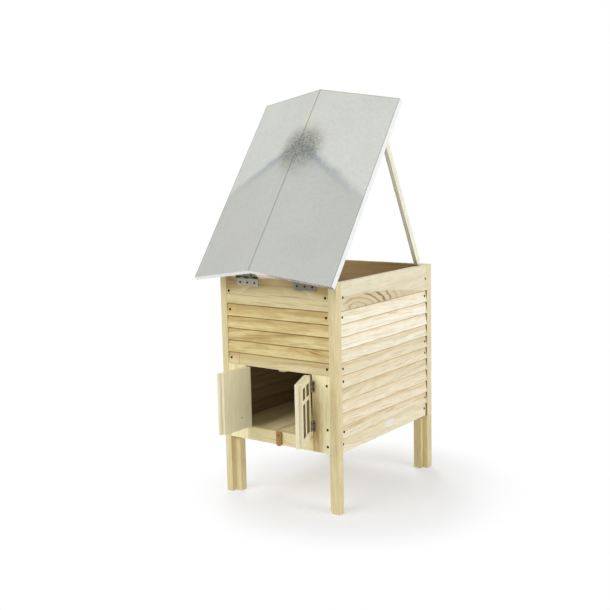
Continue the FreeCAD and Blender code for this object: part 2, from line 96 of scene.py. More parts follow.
# ---- measures of the figure and the stains, in metres ---------------------------------
RING_SPACING = 0.0068   # of the growth rings
PITH_DEPTH = 0.03       # of the tree's middle behind a board's face
FALL_REACH = (-0.026, -0.002)  # from a course's top: where its brown fades in
LAP_REACH = (-0.0036, -0.0008)  # from a course's top: the line under the next board
KNOT_PLACE = (0.0425, 0.035)  # from the left door's pin, across and up
HEART_HEIGHT = 0.039    # of the heartwood above the right top rail's lower edge
HEART_MIDDLE = 0.18     # in shares of the rail's length, as are the next two
HEART_WIDTH = 0.38
HEART_LEAN = -0.05
HEART_SPACING = 0.19    # of its rings, in shares of its size
GLUED_JOINT = -0.140    # across the front, in the header
JOINT_WIDTH = 0.0013
FIGURED_SPOT = (0.118, 0.036)  # across the front: the figured spot's middle and width
STREAK_HEIGHT = 0.024   # of the dark line above the front top rail's lower edge
STREAK_WIDTH = 0.0012
INNER_SKIN = 0.0012     # how far into the walls the inner faces' shade reaches
RUN_TOP = 0.374         # along the roof from its hinge, where the two runs meet
RUN_SLOPE = 0.63
RUN_WIDTH = 0.017
PATCH_CENTRE = (0.004, 0.370)  # across and along the roof
PATCH_REACH = 0.070     # to the side and up
PATCH_SAG = 0.022       # how much further it reaches down
CRUST_CENTRE = (-0.006, 0.452)  # of the pale stain above the patch
CRUST_SIZE = (0.020, 0.038)
LABEL_THICKNESS = 0.0003
LABEL_DROP = 0.004      # from the lowest lap to the sticker
LABEL_CORNER = 0.005
MUNTIN_RAISE = 0.0022   # of the window's bars, towards each face of the door
HEAD_PROFILE = ((1.0, 0.0), (1.0, 0.04), (0.95, 0.13), (0.77, 0.19))  # in head radii
HEAD_STEPS = 24
RECESS_DEPTH = 0.25     # in head radii, as are the next two
ARM_WIDTH = 0.13
ARM_LENGTH = 0.55
WALL_SCREW_WIDEN = 1.34  # of the heads against the solids'
SCREW_WIDEN = 1.1
ROUND_END = 12          # corners that a face has when it is a screw's round end
SAME_PLACE = 1e-6       # vertices this close are merged
FLAT = math.radians(1.0)  # faces that differ by less are joined
SHARP = math.radians(25)  # edges that turn by more are eased
POST_EASE = 1.4         # of a post's edges against the boards'
SHADOW_MIDDLE = (0.11, 0.03, 0.0)  # the floor brightens with the way from here
SHADOW_REACH = (0.30, 0.52)
CAMERA_PLACE = Vector((1.6609, -2.4150, 0.9769))  # from the middle of the body's foot
CAMERA_AIM = Vector((-0.0896, 0, 0.525))

# ---- tints, by which a colour is multiplied -------------------------------------------
# painted shade: the thin dark line that each board's lip casts on the board below
LAP_SHADE = (0.36, 0.27, 0.17)
COURSE_FALL = (0.86, 0.78, 0.63)
# painted shade on the walls' inner faces: warm near the open top, deep lower down
INSIDE_UPPER_SHADE = (0.97, 0.80, 0.56)
INSIDE_DEEP_SHADE = (0.22, 0.165, 0.10)
# painted shade in the right door's window reveals
REVEAL_SHADE = (0.22, 0.17, 0.10)
FRONT_DULL = (0.91, 0.84, 0.73)
FRONT_CLEAR = (1.08, 1.09, 1.13)
FRONT_PALE = (1.14, 1.20, 1.42)
FRONT_BROWN = (0.62, 0.45, 0.22)
LOWER_COURSES = (1.01, 0.985, 0.94)
UPPER_COURSES = (1.16, 1.19, 1.27)
# painted light on the back right post's outer face, and painted shade on its notches
POST_OUTER_LIGHT = (1.10, 1.14, 1.34)
POST_NOTCH_SHADE = (0.42, 0.31, 0.18)
# painted shadow of the roof's edge on the front rail
ROOF_SHADOW = (0.55, 0.44, 0.30)
# painted shade on the floor inside the hive
FLOOR_DEEP_SHADE = (0.22, 0.18, 0.12)
# painted shadow of the right door on its stile
DOOR_SHADOW = (0.56, 0.44, 0.29)
PINKER = (1.08, 1.0, 1.02)
# painted shade on the roof hinges where the roof shades them
HINGE_SHADE = (0.16, 0.14, 0.12)
SHEET_UPPER = (1.27, 1.265, 1.26)
# painted light on the roof's left slope
SHEET_LEFT_LIGHT = (1.07, 1.07, 1.05)

# ---- colours of small marks -----------------------------------------------------------
KNOT = (0.16, 0.10, 0.04, 1)
HEART_TAN = (0.58, 0.40, 0.18, 1)
HEART_LINE = (0.19, 0.11, 0.03, 1)
DARK_LINE = (0.36, 0.22, 0.07, 1)
CRUST = (0.72, 0.69, 0.55, 1)
EDGE_SHADE = (0.22, 0.19, 0.13, 1)
WHITE = (1, 1, 1, 1)


# ---- settings -------------------------------------------------------------------------
def colour(text, default):
    """A colour property, given and shown as linear light."""
    return FloatVectorProperty(name=text[0].upper() + text[1:],
                               description="Colour of the " + text, default=default,
                               size=3, subtype="COLOR", min=0.0, max=1.0)


def length(name, text, default):
    """A length property in metres."""
    return FloatProperty(name=name, description=text, default=default, unit="LENGTH", min=0.0)


def share(name, text, default):
    """A property between 0 and 1."""
    return FloatProperty(name=name, description=text, default=default, min=0.0, max=1.0)


class HIVE_PG_timber(bpy.types.PropertyGroup):
    """Colours and edges of the wooden pieces."""

    # front boards darker and side boards paler: partly their own tone, partly painted shade on the front and
    # painted light on the sides
    front: colour("front boards", (0.73, 0.61, 0.305))
    rail: colour("front rail, sill and header", (0.80, 0.69, 0.405))
    # paler than the rail: painted light that offsets the doors' shadow on the stiles
    stile: colour("stiles beside the doors", (0.99, 0.90, 0.57))
    side: colour("side and back boards", (0.87, 0.80, 0.62))
    post: colour("corner posts", (0.76, 0.655, 0.375))
    door: colour("doors", (0.82, 0.76, 0.53))
    inside: colour("floor and its bearers", (0.96, 0.85, 0.49))
    roof: colour("roof's frame", (0.86, 0.77, 0.58))
    prop: colour("prop", (1.0, 0.97, 0.87))
    late: colour("dark part of each growth ring", (0.50, 0.36, 0.14))
    heart: colour("darker streaks", (0.42, 0.27, 0.12))
    button: colour("turn button", (0.37, 0.19, 0.055))
    ease: length("Eased edge", "Width of the eased edges of boards and posts", 0.0007)


class HIVE_PG_metal(bpy.types.PropertyGroup):
    """Colours of the metal pieces."""

    sheet: colour("zinc sheet", (0.468, 0.481, 0.448))
    stain: colour("dull patch below the top of the ridge", (0.140, 0.146, 0.105))
    run: colour("two runs below the patch", (0.31, 0.345, 0.375))
    # paler than the sheet: painted light on the folded edges
    hem: colour("sheet's folded edges", (0.85, 0.85, 0.85))
    hinge: colour("plated hinges", (0.46, 0.44, 0.34))
    door_hinge: colour("small door hinges", (0.32, 0.27, 0.20))
    button_screw: colour("turn button's screw", (0.26, 0.14, 0.05))
    screw: colour("wall screws", (0.032, 0.019, 0.001))


class HIVE_PG_label(bpy.types.PropertyGroup):
    """Size and colour of the blank sticker on the right bottom rail."""

    width: length("Width", "Width of the sticker", 0.046)
    height: length("Height", "Height of the sticker", 0.019)
    offset: length("Offset", "From the middle of the side to the sticker's middle", 0.016)
    paper: colour("sticker", (0.84, 0.82, 0.76))


class HIVE_PG_studio(bpy.types.PropertyGroup):
    """Floor, lights and camera."""

    floor: colour("studio floor", (0.90, 0.915, 0.95))
    lift: share("Lift", "How far the floor near the hive is whitened", 0.40)
    glow: share("Glow", "How much of the floor's light is its own", 0.5)
    sky: FloatProperty(name="Sky", description="Strength of the even light", default=0.43, min=0.0)
    key: FloatProperty(name="Key", description="Power of the key light", default=31.0,
                       min=0.0, subtype="POWER")
    lens: FloatProperty(name="Lens", description="Focal length of the camera in millimetres",
                        default=58.96, min=1.0)
    roll: FloatProperty(name="Roll", description="Tilt of the camera about its line of sight",
                        default=math.radians(-1.28), subtype="ANGLE")


# ---- shader helpers -------------------------------------------------------------------
def add(tree, kind, settings=None, **links):
    """Adds a node and sets or links its inputs by name."""
    node = tree.nodes.new(kind)
    for name, value in (settings or {}).items():
        setattr(node, name, value)
    for name, value in links.items():
        plug(node.inputs[int(name[1:])] if name[0] == "i" and name[1:].isdigit()
             else node.inputs[name.replace("_", " ")], value)
    return node


def plug(socket, value):
    """Links a socket to an output, or gives it a fixed value."""
    if isinstance(value, bpy.types.NodeSocket):
        socket.id_data.links.new(value, socket)
    else:
        socket.default_value = value


def tree_of(*values):
    """The node tree that the first socket among some values belongs to."""
    return next(value.id_data for value in values if isinstance(value, bpy.types.NodeSocket))


def sums(operation, *values, clamp=False):
    """A maths node's result."""
    node = tree_of(*values).nodes.new("ShaderNodeMath")
    node.operation = operation
    node.use_clamp = clamp
    for socket, value in zip(node.inputs, values):
        plug(socket, value)
    return node.outputs[0]


def times(first, *others, clamp=False):
    """The product of two or more values."""
    for other in others:
        first = sums("MULTIPLY", first, other, clamp=clamp)
    return first


def minus(value, less):
    """A difference."""
    return sums("SUBTRACT", value, less)


def scaled(value, factor, plus, clamp=False):
    """A value times a factor, added to something."""
    return sums("MULTIPLY_ADD", value, factor, plus, clamp=clamp)


def swing(value, amount, plus=0.0, middle=0.5, clamp=False):
    """How far a value lies from its middle, scaled and added to something."""
    return scaled(minus(value, middle), amount, plus, clamp)


def larger(first, *others):
    """The largest of two or more values."""
    for other in others:
        first = sums("MAXIMUM", first, other)
    return first


def above(value, limit):
    """1 where the value is over the limit, else 0."""
    return sums("GREATER_THAN", value, limit)


def below(value, limit):
    """1 where the value is under the limit, else 0."""
    return sums("LESS_THAN", value, limit)


def distance(value, place=0.0):
    """How far a value lies from a place, to either side."""
    return sums("ABSOLUTE", minus(value, place))


def slanted(first, second):
    """The length of a line from its reaches along two square axes."""
    return sums("SQRT", scaled(first, first, times(second, second)))


def bell(value, width, middle=0.0):
    """1 where the value is at the middle, falling away smoothly over the width."""
    part = sums("DIVIDE", minus(value, middle), width)
    return sums("EXPONENT", times(part, part, -1.0))


def ramp(value, low, high):
    """A smooth step from 0 at low to 1 at high."""
    return add(value.id_data, "ShaderNodeMapRange", {"interpolation_type": "SMOOTHSTEP"},
               Value=value, From_Min=low, From_Max=high).outputs["Result"]


def ring_lines(reach, spacing, sharpness):
    """Thin rings at an even spacing; sharper ones are thinner."""
    wave = sums("SINE", times(reach, math.tau / spacing))
    return sums("POWER", scaled(wave, 0.5, 0.5), sharpness)


def blend_colours(factor, low, high, mode="MIX"):
    """A colour mix's result."""
    node = tree_of(factor, low, high).nodes.new("ShaderNodeMix")
    node.data_type = "RGBA"
    node.blend_type = mode
    plug(node.inputs[0], factor)
    plug(node.inputs[6], low)
    plug(node.inputs[7], high)
    return node.outputs[2]


def tint(colour, by, factor=1.0):
    """A colour multiplied by another, as far as the factor says."""
    return blend_colours(factor, colour, rgba(by) if isinstance(by, tuple) else by, "MULTIPLY")


def parts(vector):
    """The three parts of a vector."""
    return add(vector.id_data, "ShaderNodeSeparateXYZ", Vector=vector).outputs


def own(tree, kind):
    """The object's own coordinates or normal."""
    return tree.nodes.new("ShaderNodeTexCoord").outputs[kind]


def facing(tree, direction):
    """How squarely a face looks along a direction."""
    return add(tree, "ShaderNodeVectorMath", {"operation": "DOT_PRODUCT"},
               i0=own(tree, "Normal"), i1=direction).outputs["Value"]


def noise(place, scale, detail, rough=0.5):
    """Even noise; the scale is in cycles per metre."""
    return add(place.id_data, "ShaderNodeTexNoise", Vector=place, Scale=scale, Detail=detail,
               Roughness=rough).outputs[0]


def stretched_noise(first, second, third, detail, rough):
    """Noise drawn out along an axis; each pair is a coordinate and its cycles per metre."""
    place = add(first[0].id_data, "ShaderNodeCombineXYZ", X=times(*first), Y=times(*second),
                Z=times(*third)).outputs[0]
    return noise(place, 1.0, detail, rough)


def new_group(name, colours, values):
    """An empty shader group that takes a place, colours and values.

    It puts out a colour, a roughness and a height; returns its tree, inputs and outputs."""
    tree = bpy.data.node_groups.new(name, "ShaderNodeTree")
    kinds = {"Vector": "Vector", **dict.fromkeys(colours, "Color"),
             **dict.fromkeys(values, "Float")}
    for label, kind in kinds.items():
        tree.interface.new_socket(label, in_out="INPUT", socket_type="NodeSocket" + kind)
    for label, kind in (("Color", "Color"), ("Roughness", "Float"), ("Height", "Float")):
        tree.interface.new_socket(label, in_out="OUTPUT", socket_type="NodeSocket" + kind)
    start = tree.nodes.new("NodeGroupInput")
    end = tree.nodes.new("NodeGroupOutput")
    return tree, start.outputs, end.inputs


def rgba(values):
    return (*values, 1.0)


def sawn_wood_group():
    """Growth rings, grain lines, fibres and tone of sawn wood, and painted shade.

    The vector's X runs along the grain, Y across the face and Z into the wood, in metres.
    Each course of boards has its own tone and its own place in the tree."""
    tree, given, result = new_group(
        "sawn wood", ("Pale", "Late", "Heart"),
        ("Course", "Start", "Seed", "Figure", "Grain", "Streaks", "Spread", "Lap", "Inside"))
    course, lap, inside = given["Course"], given["Lap"], given["Inside"]
    x, y, z = parts(given["Vector"])
    up = minus(y, given["Start"])
    row = sums("FLOOR", sums("DIVIDE", up, course))
    chance = add(tree, "ShaderNodeTexWhiteNoise", {"noise_dimensions": "1D"},
                 W=sums("ADD", row, times(given["Seed"], 17.31))).outputs
    place_pick, lean_pick, height_pick = parts(chance["Color"])
    in_board = minus(up, times(sums("ADD", row, 0.5), course))
    along = scaled(place_pick, 3.0, x)

    wander = stretched_noise((along, 1.6), (in_board, 9.0), (z, 9.0), 2.0, 0.5)
    across = swing(wander, 0.05, in_board)
    across = scaled(x, swing(lean_pick, 0.22), across)
    across = swing(height_pick, 0.1, across)
    radius = slanted(across, sums("ADD", z, PITH_DEPTH))
    ring = ring_lines(radius, RING_SPACING, 3.0)

    fibre = stretched_noise((along, 16.0), (y, 640.0), (z, 640.0), 3.0, 0.5)
    line = stretched_noise((along, 9.0), (across, 230.0), (z, 120.0), 4.0, 0.65)
    mottle = stretched_noise((along, 26.0), (across, 60.0), (z, 60.0), 3.0, 0.6)
    streak = stretched_noise((along, 2.4), (across, 60.0), (z, 20.0), 3.0, 0.55)

    grain = times(ramp(line, 0.47, 0.70), given["Grain"])
    grain = scaled(ring, given["Figure"], grain)
    grain = swing(fibre, 0.36, grain, clamp=True)
    wood = blend_colours(grain, given["Pale"], given["Late"])
    streak = times(ramp(streak, 0.56, 0.72), given["Streaks"])
    wood = blend_colours(streak, wood, given["Heart"])
    tone = swing(chance["Value"], given["Spread"], 1.0, middle=0.6)
    tone = swing(mottle, 0.22, tone)
    shade = add(tree, "ShaderNodeCombineColor", Red=tone, Green=tone,
                Blue=sums("POWER", tone, 1.6)).outputs[0]
    wood = tint(wood, shade)

    edge = scaled(course, -0.5, in_board)
    wood = tint(wood, COURSE_FALL, times(ramp(edge, *FALL_REACH), lap, 0.6))
    # painted shade under the lip of the board above, left off the inner faces
    line = times(ramp(edge, *LAP_REACH), lap, minus(1.0, inside))
    wood = tint(wood, LAP_SHADE, line)
    # painted shade on the inner faces of the walls, warmer near the open top
    upper = times(times(inside, 5.0, clamp=True), ramp(inside, 1.05, 0.2))
    wood = tint(wood, INSIDE_UPPER_SHADE, upper)
    wood = tint(wood, INSIDE_DEEP_SHADE, inside)
    plug(result["Color"], wood)
    plug(result["Roughness"], scaled(fibre, 0.18, 0.52))
    plug(result["Height"], scaled(fibre, 0.6, times(ring, 0.25)))
    return tree


def spangle_group():
    """Dull zinc: soft clouds, small crystals and fine speckle."""
    tree, given, result = new_group("dull zinc", ("Base",), ("Cloud", "Crystal"))
    place = given["Vector"]
    cells = add(tree, "ShaderNodeTexVoronoi", Vector=place, Scale=150.0).outputs["Color"]
    crystal = parts(cells)[0]
    speck = noise(place, 320.0, 4.0, 0.7)
    tone = swing(noise(place, 5.0, 4.0, 0.6), given["Cloud"], 1.0)
    tone = swing(crystal, given["Crystal"], tone)
    tone = swing(speck, 0.26, tone)
    shade = add(tree, "ShaderNodeCombineColor", Red=tone, Green=tone, Blue=tone).outputs[0]
    plug(result["Color"], tint(given["Base"], shade))
    plug(result["Roughness"], scaled(crystal, 0.10, 0.50))
    plug(result["Height"], scaled(speck, 0.5, crystal))
    return tree


GROUPS = {"wood": sawn_wood_group, "zinc": spangle_group}


def shared_group(key):
    """A shared group, built the first time that it is asked for."""
    if not isinstance(GROUPS[key], bpy.types.NodeTree):
        GROUPS[key] = GROUPS[key]()
    return GROUPS[key]


def blank_material(name):
    """A material with a Principled shader; returns it with its tree and shader."""
    material = bpy.data.materials.new(name)
    material.use_nodes = True
    tree = material.node_tree
    return material, tree, tree.nodes["Principled BSDF"]


def dress_shader(shader, group, colour, relief, specular, metallic=0.0):
    """Feeds a shader from a group's outputs; the relief is a bump's strength and depth."""
    bump = add(shader.id_data, "ShaderNodeBump", Strength=relief[0], Distance=relief[1],
               Height=group.outputs["Height"])
    plug(shader.inputs["Base Color"], colour)
    plug(shader.inputs["Roughness"], group.outputs["Roughness"])
    plug(shader.inputs["Normal"], bump.outputs[0])
    shader.inputs["Metallic"].default_value = metallic
    shader.inputs["Specular IOR Level"].default_value = specular


def placed_coordinates(tree, pivot=(0, 0, 0), turn=(0, 0, 0)):
    """Object coordinates measured from a pivot, after undoing a turn."""
    return add(tree, "ShaderNodeMapping", {"vector_type": "TEXTURE"}, Location=pivot,
               Rotation=turn, Vector=own(tree, "Object")).outputs[0]


def timber(name, pale, order, seed, course=None, start=0.0, pivot=(0, 0, 0), turn=(0, 0, 0),
           figure=0.34, grain=0.34, streaks=0.35, spread=0.16, lap=0.0, shade_inside=False,
           marks=None):
    """A wood material; order names the axes along the grain, across it and into the wood.

    Faces within the hive's walls can get painted shade, less near the open top.
    Marks adds what only this piece has, given the unturned place and the colour."""
    settings = bpy.context.scene.hive_timber
    material, tree, shader = blank_material(name)
    unturned = placed_coordinates(tree, pivot, turn)
    split = parts(unturned)
    x, y, z = (split["XYZ".index(letter)] for letter in order)
    place = add(tree, "ShaderNodeCombineXYZ", X=x, Y=y, Z=z).outputs[0]
    wood = add(tree, "ShaderNodeGroup", {"node_tree": shared_group("wood")}, Vector=place,
               Course=course or COURSE, Start=start, Seed=seed, Pale=rgba(pale),
               Late=rgba(settings.late), Heart=rgba(settings.heart), Figure=figure, Grain=grain,
               Streaks=streaks, Spread=spread, Lap=lap)
    if shade_inside:
        plug(wood.inputs["Inside"], inside_wall_shade(own(tree, "Object")))
    shown = wood.outputs["Color"]
    if marks:
        shown = marks(unturned, shown)
    dress_shader(shader, wood, shown, (0.25, 0.0004), specular=0.3)
    return material


def pin_knot(place, wood):
    """A small dark knot on the left door."""
    x, _, z = parts(place)
    away = slanted(minus(x, KNOT_PLACE[0]), minus(z, KNOT_PLACE[1]))
    return blend_colours(ramp(away, 0.0030, 0.0012), wood, KNOT)


def shaded_reveals(place, wood):
    """Painted shade on the reveals around and between the panes of the right door."""
    turned = Matrix.Rotation(RIGHT_TURN, 3, "Z")
    bars = [turned.transposed() @ (vertex.co - RIGHT_DOOR_PIN)
            for vertex in NODES["right_door_muntins"].data.vertices]
    mask = below(distance(facing(place.id_data, turned @ Vector((0, 1, 0)))), 0.5)
    split = parts(place)
    for axis in (0, 2):
        low, high = min(bar[axis] for bar in bars), max(bar[axis] for bar in bars)
        off = distance(split[axis], (low + high) / 2)
        mask = times(mask, below(off, (high - low) / 2 + 0.0005))
    return tint(wood, REVEAL_SHADE, mask)


def heart_rings(place, wood):
    """Curved rings of dark heartwood in the lower front part of the right top rail."""
    low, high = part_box("top_rail_right")
    x, y, z = parts(place)
    along = sums("DIVIDE", minus(y, low.y), high.y - low.y)
    up = sums("DIVIDE", minus(z, low.z), HEART_HEIGHT)
    uneven = stretched_noise((y, 14.0), (z, 60.0), (x, 14.0), 3.0, 0.6)
    across = minus(along, scaled(up, HEART_LEAN, HEART_MIDDLE))
    reach = slanted(sums("DIVIDE", across, HEART_WIDTH), times(up, 0.6))
    reach = swing(uneven, 0.20, reach)
    ring = times(ring_lines(reach, HEART_SPACING, 4.0), ramp(along, 0.82, 0.5))
    strong = sums("ADD", 0.45, bell(reach, 0.22, 0.80))
    ring = times(ring, strong, clamp=True)
    top = sums("POWER", larger(along, 0.0), 2.2)
    mask = ramp(minus(minus(1.02, top), up), 0.0, 0.13)
    mask = times(mask, ramp(along, -0.02, 0.08))
    tan = blend_colours(times(mask, 0.42), wood, HEART_TAN)
    return blend_colours(times(ring, mask, 0.85), tan, HEART_LINE)


def figured_front(place, wood):
    """Uneven tone on the front boards, with a pale patch and brown streaks near one end."""
    x, y, z = parts(place)
    cloud = stretched_noise((x, 11.0), (z, 48.0), (y, 20.0), 3.0, 0.6)
    shade = blend_colours(ramp(cloud, 0.36, 0.62), rgba(FRONT_DULL), rgba(FRONT_CLEAR))
    wood = tint(wood, shade)
    across = bell(x, FIGURED_SPOT[1], FIGURED_SPOT[0])
    row = sums("DIVIDE", minus(z, COURSE_START), COURSE)
    wood = tint(wood, FRONT_PALE, times(across, bell(row, 0.35, 7.45)))
    lines = stretched_noise((x, 9.0), (scaled(x, 0.22, z), 210.0), (y, 20.0), 2.0, 0.6)
    brown = times(across, bell(row, 0.30, 6.7), ramp(lines, 0.40, 0.60))
    return tint(wood, FRONT_BROWN, brown)


def paler_above(place, wood):
    """Nearly white upper courses on the right wall, and yellower ones below."""
    middle = COURSE_START + 6 * COURSE
    up = ramp(parts(place)[2], middle - COURSE, middle + COURSE)
    return tint(wood, blend_colours(up, rgba(LOWER_COURSES), rgba(UPPER_COURSES)))


def notch_shade_and_outer_light(place, wood):
    """Painted shade on the rebate's side beside the boards' bevels; painted light on the outer face."""
    walls = above(parts(place)[2], LEG_HEIGHT)
    outer = times(above(facing(place.id_data, (1, 0, 0)), 0.5), walls)
    wood = tint(wood, POST_OUTER_LIGHT, outer)
    notch = times(above(facing(place.id_data, (0, -1, 0)), 0.5), walls)
    return tint(wood, POST_NOTCH_SHADE, notch)


def streak_and_roof_shadow(place, wood):
    """Painted roof shadow along the front rail's top, lower at its ends, and a fading dark grain line."""
    low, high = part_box("top_rail_front")
    x, _, z = parts(place)
    line = bell(scaled(x, 0.03, z), STREAK_WIDTH, low.z + STREAK_HEIGHT)
    line = times(line, ramp(x, 0.02, -0.10), 0.55)
    wood = blend_colours(line, wood, DARK_LINE)
    # painted shadow under the roof, reaching lower towards the ends
    under = scaled(distance(x), 0.2, z)
    shaded = ramp(under, high.z - 0.022, high.z + 0.008)
    return tint(wood, ROOF_SHADOW, times(shaded, 0.85))


def floor_shade(place, wood):
    """Painted shade on the floor, deeper towards the back and the left, away from the doorway."""
    low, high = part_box("floor_boards")
    x, y, _ = parts(place)
    left = times(ramp(x, 0.0, low.x + 0.06), 0.55)
    shade = scaled(ramp(y, low.y + 0.02, high.y), 0.6, left, clamp=True)
    return tint(wood, FLOOR_DEEP_SHADE, shade)


def hinge_shade(place, wood):
    """Painted shadow of the right door on its stile beside the hinges, stronger lower down."""
    x, y, z = parts(place)
    cloud = stretched_noise((z, 14.0), (x, 60.0), (y, 60.0), 2.0, 0.6)
    off = minus(x, RIGHT_DOOR_PIN.x)
    near = ramp(off, 0.044, 0.008)
    low = ramp(z, RIGHT_DOOR_PIN.z + 0.17, RIGHT_DOOR_PIN.z + 0.02)
    shade = times(near, low, scaled(cloud, 1.8, 0.2), clamp=True)
    return tint(wood, DOOR_SHADOW, times(shade, above(off, 0.0)))


def finger_joint(place, wood):
    """A glued joint near the header's left end, with pinker wood beyond it."""
    x = parts(place)[0]
    wood = tint(wood, PINKER, below(x, GLUED_JOINT))
    line = times(bell(x, JOINT_WIDTH, GLUED_JOINT), 0.65)
    return blend_colours(line, wood, DARK_LINE)


def inside_wall_shade(place):
    """How deep the painted shade on the inner wall faces is: less near the open top, 0 outside."""
    x, y, z = parts(place)
    thickness = WALL_THICKNESS - INNER_SKIN
    in_width = below(distance(x), BODY_REACH.x - thickness)
    in_length = below(distance(y, BODY_MIDDLE.y), BODY_REACH.y - thickness)
    off_floor = ramp(z, LEG_HEIGHT - 0.012, LEG_HEIGHT)
    deep = scaled(ramp(z, WALL_TOP, WALL_TOP - 0.20), 0.76, 0.17)
    return times(in_width, in_length, off_floor, deep)


def zinc_group(tree, place, base, cloud, crystal):
    """The shared zinc group with its own values."""
    return add(tree, "ShaderNodeGroup", {"node_tree": shared_group("zinc")}, Vector=place,
               Base=rgba(base), Cloud=cloud, Crystal=crystal)


def plated(name, base, seed, metallic=0.5, specular=0.5, shade_above=None):
    """Zinc-plated steel with faint clouds.

    Given a height, painted shade darkens it above that height and towards the right, under the roof."""
    material, tree, shader = blank_material(name)
    zinc = zinc_group(tree, placed_coordinates(tree, (seed, 0, 0)), base, 0.5, 0.1)
    shown = zinc.outputs["Color"]
    if shade_above:
        x, _, z = parts(own(tree, "Object"))
        dark = larger(ramp(z, shade_above, shade_above + 0.0015), times(ramp(x, 0.02, 0.08), 0.68))
        shown = tint(shown, HINGE_SHADE, dark)
    dress_shader(shader, zinc, shown, (0.12, 0.0002), specular, metallic)
    return material


# ---- mesh helpers ---------------------------------------------------------------------
def as_mesh(shape, name):
    """A new mesh from a bmesh, which is then freed."""
    mesh = bpy.data.meshes.new(name)
    shape.to_mesh(mesh)
    shape.free()
    return mesh


def dressed_mesh(mesh, material):
    """Gives a mesh one material."""
    mesh.materials.clear()
    mesh.materials.append(material)
    return mesh


def linked(name, data):
    """A new object in the scene."""
    made = bpy.data.objects.new(name, data)
    bpy.context.scene.collection.objects.link(made)
    return made


def finish_piece(name, mesh, material, node=None, body=None):
    """Links a mesh as a piece of the object, riding on its body."""
    piece = linked(name, dressed_mesh(mesh, material))
    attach(piece, body or BODY_OF[node])
    if node:
        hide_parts(node)
    return piece


def merged_copy(node):
    """A bmesh of a CAD node's triangles, merged and with its flat faces joined."""
    shape = bmesh.new()
    shape.from_mesh(NODES[node].data)
    bmesh.ops.remove_doubles(shape, verts=shape.verts, dist=SAME_PLACE)
    bmesh.ops.dissolve_limit(shape, angle_limit=FLAT, verts=shape.verts,
                             edges=shape.edges, delimit={"NORMAL"})
    return shape


def eased(node, material, width, shortest=0.008):
    """A copy of a CAD node with its long edges eased, in place of the node."""
    shape = merged_copy(node)
    edges = [edge for edge in shape.edges
             if len(edge.link_faces) == 2 and edge.calc_length() > shortest
             and edge.calc_face_angle(0.0) > SHARP]
    bmesh.ops.bevel(shape, geom=edges, offset=width, offset_type="OFFSET", segments=2,
                    profile=0.5, affect="EDGES", clamp_overlap=True, material=-1)
    bmesh.ops.triangulate(shape, faces=[face for face in shape.faces if len(face.verts) > 4])
    name = node + ".eased"
    return finish_piece(name, as_mesh(shape, name), material, node=node)


def dress(node, material):
    """Gives a CAD node its material as it stands."""
    dressed_mesh(NODES[node].data, material)


# ---- pieces ---------------------------------------------------------------------------
WHOLE = {"course": 0.2, "start": -0.1}   # small pieces, each cut from one board
WIDE = {"course": 0.3, "start": -0.1}    # the roof's frame and the prop


class HIVE_OT_walls(bpy.types.Operator):
    """Eases and colours the boards, rails, sill, header and stiles"""

    bl_idname = "hive.walls"
    bl_label = "Walls"

    def execute(self, context):
        wood = context.scene.hive_timber
        boards = {"start": COURSE_START, "lap": 0.85, "grain": 0.5, "shade_inside": True}
        rails = {"course": 0.2, "start": WALL_TOP - 0.15, "shade_inside": True}
        low_rail = {"course": COURSE_START - LEG_HEIGHT, "start": LEG_HEIGHT, "lap": 0.85,
                    "shade_inside": True}
        paler = [min(1.0, 1.1 * part) for part in wood.side]
        back_rails = timber("back rails", wood.side, "XZY", 15, **rails)
        left_rails = timber("left rails", wood.side, "YZX", 17, **rails)
        stiles = timber("stiles", wood.stile, "ZXY", 19, figure=0.1, grain=0.24,
                        marks=hinge_shade, **WHOLE)
        front = timber("front boards", wood.front, "XZY", 3, streaks=0.55, figure=0.42,
                       marks=figured_front, **boards)
        right = timber("right boards", wood.side, "YZX", 7, figure=0.17, spread=0.10,
                       streaks=0.3, marks=paler_above, **boards)
        finishes = {
            "left_boards": timber("left boards", wood.side, "YZX", 9, **boards),
            "back_boards": timber("back boards", wood.side, "XZY", 5, **boards),
            # a little darker than the rail: painted shade from the boards above
            "header": timber("header", [0.93 * part for part in wood.rail], "XZY", 4,
                             marks=finger_joint, **boards),
            "sill": timber("sill", wood.rail, "XZY", 21, course=0.2, start=0.1),
            "stile_left": stiles, "stile_right": stiles,
            "top_rail_front": timber("front top rail", wood.rail, "XZY", 11, grain=0.5,
                                     streaks=0.6, marks=streak_and_roof_shadow, **rails),
            "top_rail_right": timber("right top rail", wood.side, "YZX", 13, figure=0.15,
                                     streaks=0.1, marks=heart_rings, **rails),
            "bottom_rail_right": timber("right bottom rail", paler, "YZX", 14, figure=0.2,
                                        **low_rail),
            "top_rail_back": back_rails, "bottom_rail_back": back_rails,
            "top_rail_left": left_rails, "bottom_rail_left": left_rails}
        for node in NODES:
            if node.startswith("front_board"):
                finishes[node] = front
            if node.startswith("right_board"):
                finishes[node] = right
        for node, material in finishes.items():
            eased(node, material, wood.ease)
        return {"FINISHED"}


class HIVE_OT_posts(bpy.types.Operator):
    """Eases and colours the four corner posts"""

    bl_idname = "hive.posts"
    bl_label = "Posts"

    def execute(self, context):
        wood = context.scene.hive_timber
        for number, node in enumerate(sorted(n for n in NODES if n.startswith("post"))):
            marks = notch_shade_and_outer_light if node == "post_back_right" else None
            material = timber(node.replace("_", " "), wood.post, "ZXY", 31 + number,
                              course=0.3, start=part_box(node)[0].x - 0.1, figure=0.25,
                              grain=0.45, shade_inside=True, marks=marks)
            eased(node, material, wood.ease * POST_EASE)
        return {"FINISHED"}


